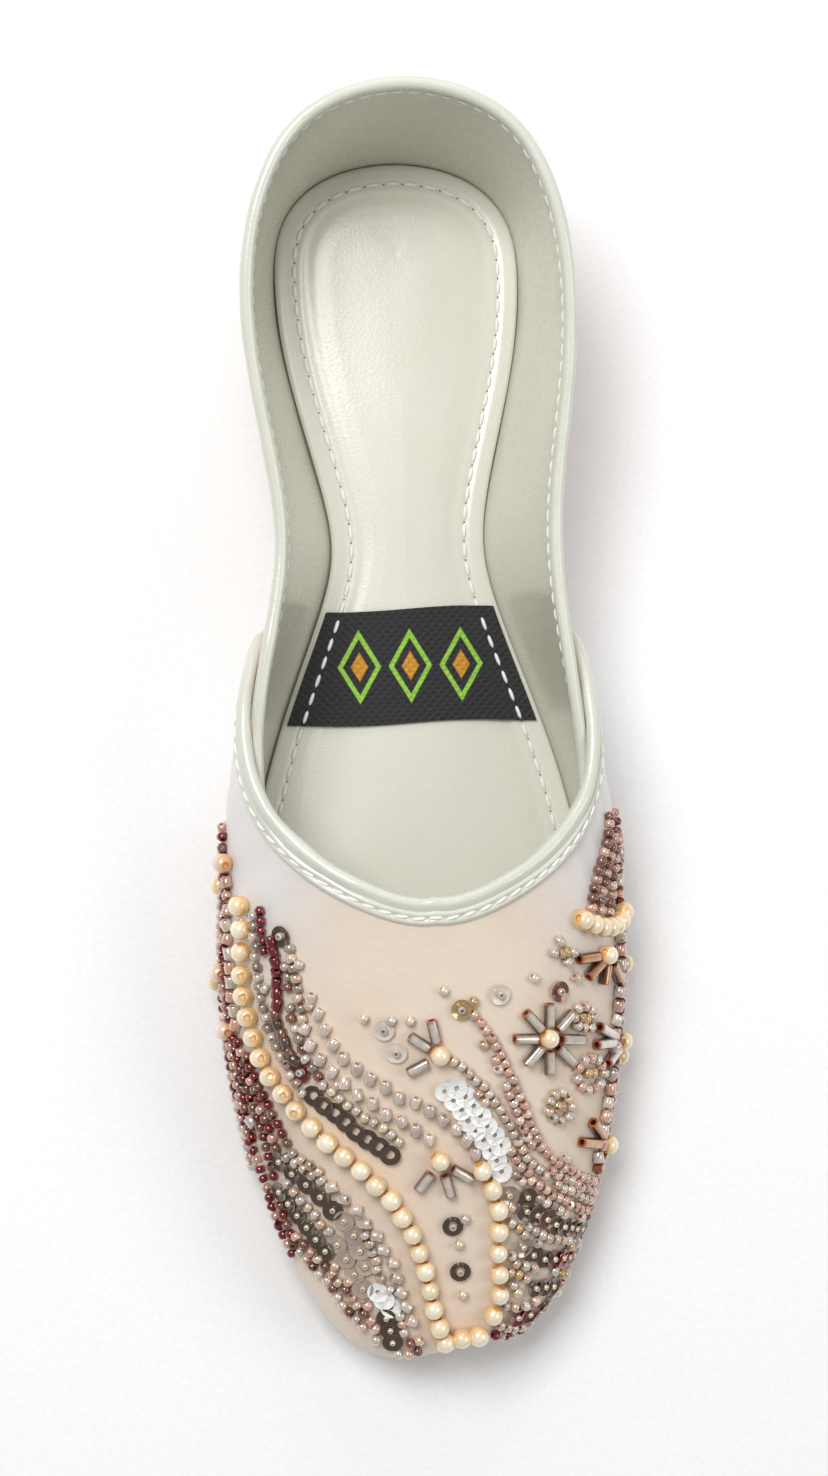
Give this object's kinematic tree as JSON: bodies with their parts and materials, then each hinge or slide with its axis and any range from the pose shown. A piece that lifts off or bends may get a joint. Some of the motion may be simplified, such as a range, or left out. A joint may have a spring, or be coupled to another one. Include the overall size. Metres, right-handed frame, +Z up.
{
  "type": "mojari shoe",
  "caption": "Left women's flat slip-on mojari with a beaded vamp, bound open collar, padded insole and a thin leather sole.",
  "frame": {"origin": "centre of the shoe's bounding box in plan, on the floor it stands on", "axes": "+Z up, toe towards -Y, heel towards +Y, the foot's outer side towards +X and its inner side towards -X"},
  "size_m": [0.0791, 0.2482, 0.0532],
  "materials": {
    "outsole": "matte, burnished edge",
    "heel_lift": "matte, burnished edge",
    "insole": "semi-gloss",
    "upper": "satin",
    "binding": "semi-gloss",
    "label": "matte woven",
    "pearls": "pearly gloss",
    "beads": "metal-lined gloss"
  },
  "bodies": {
    "root": {"outsole": "outsole", "heel_lift": "heel_lift", "insole": "insole", "upper": "upper", "collar_binding": "binding", "vamp_binding": "binding", "footbed_label": "label"}
  },
  "joints": []
}
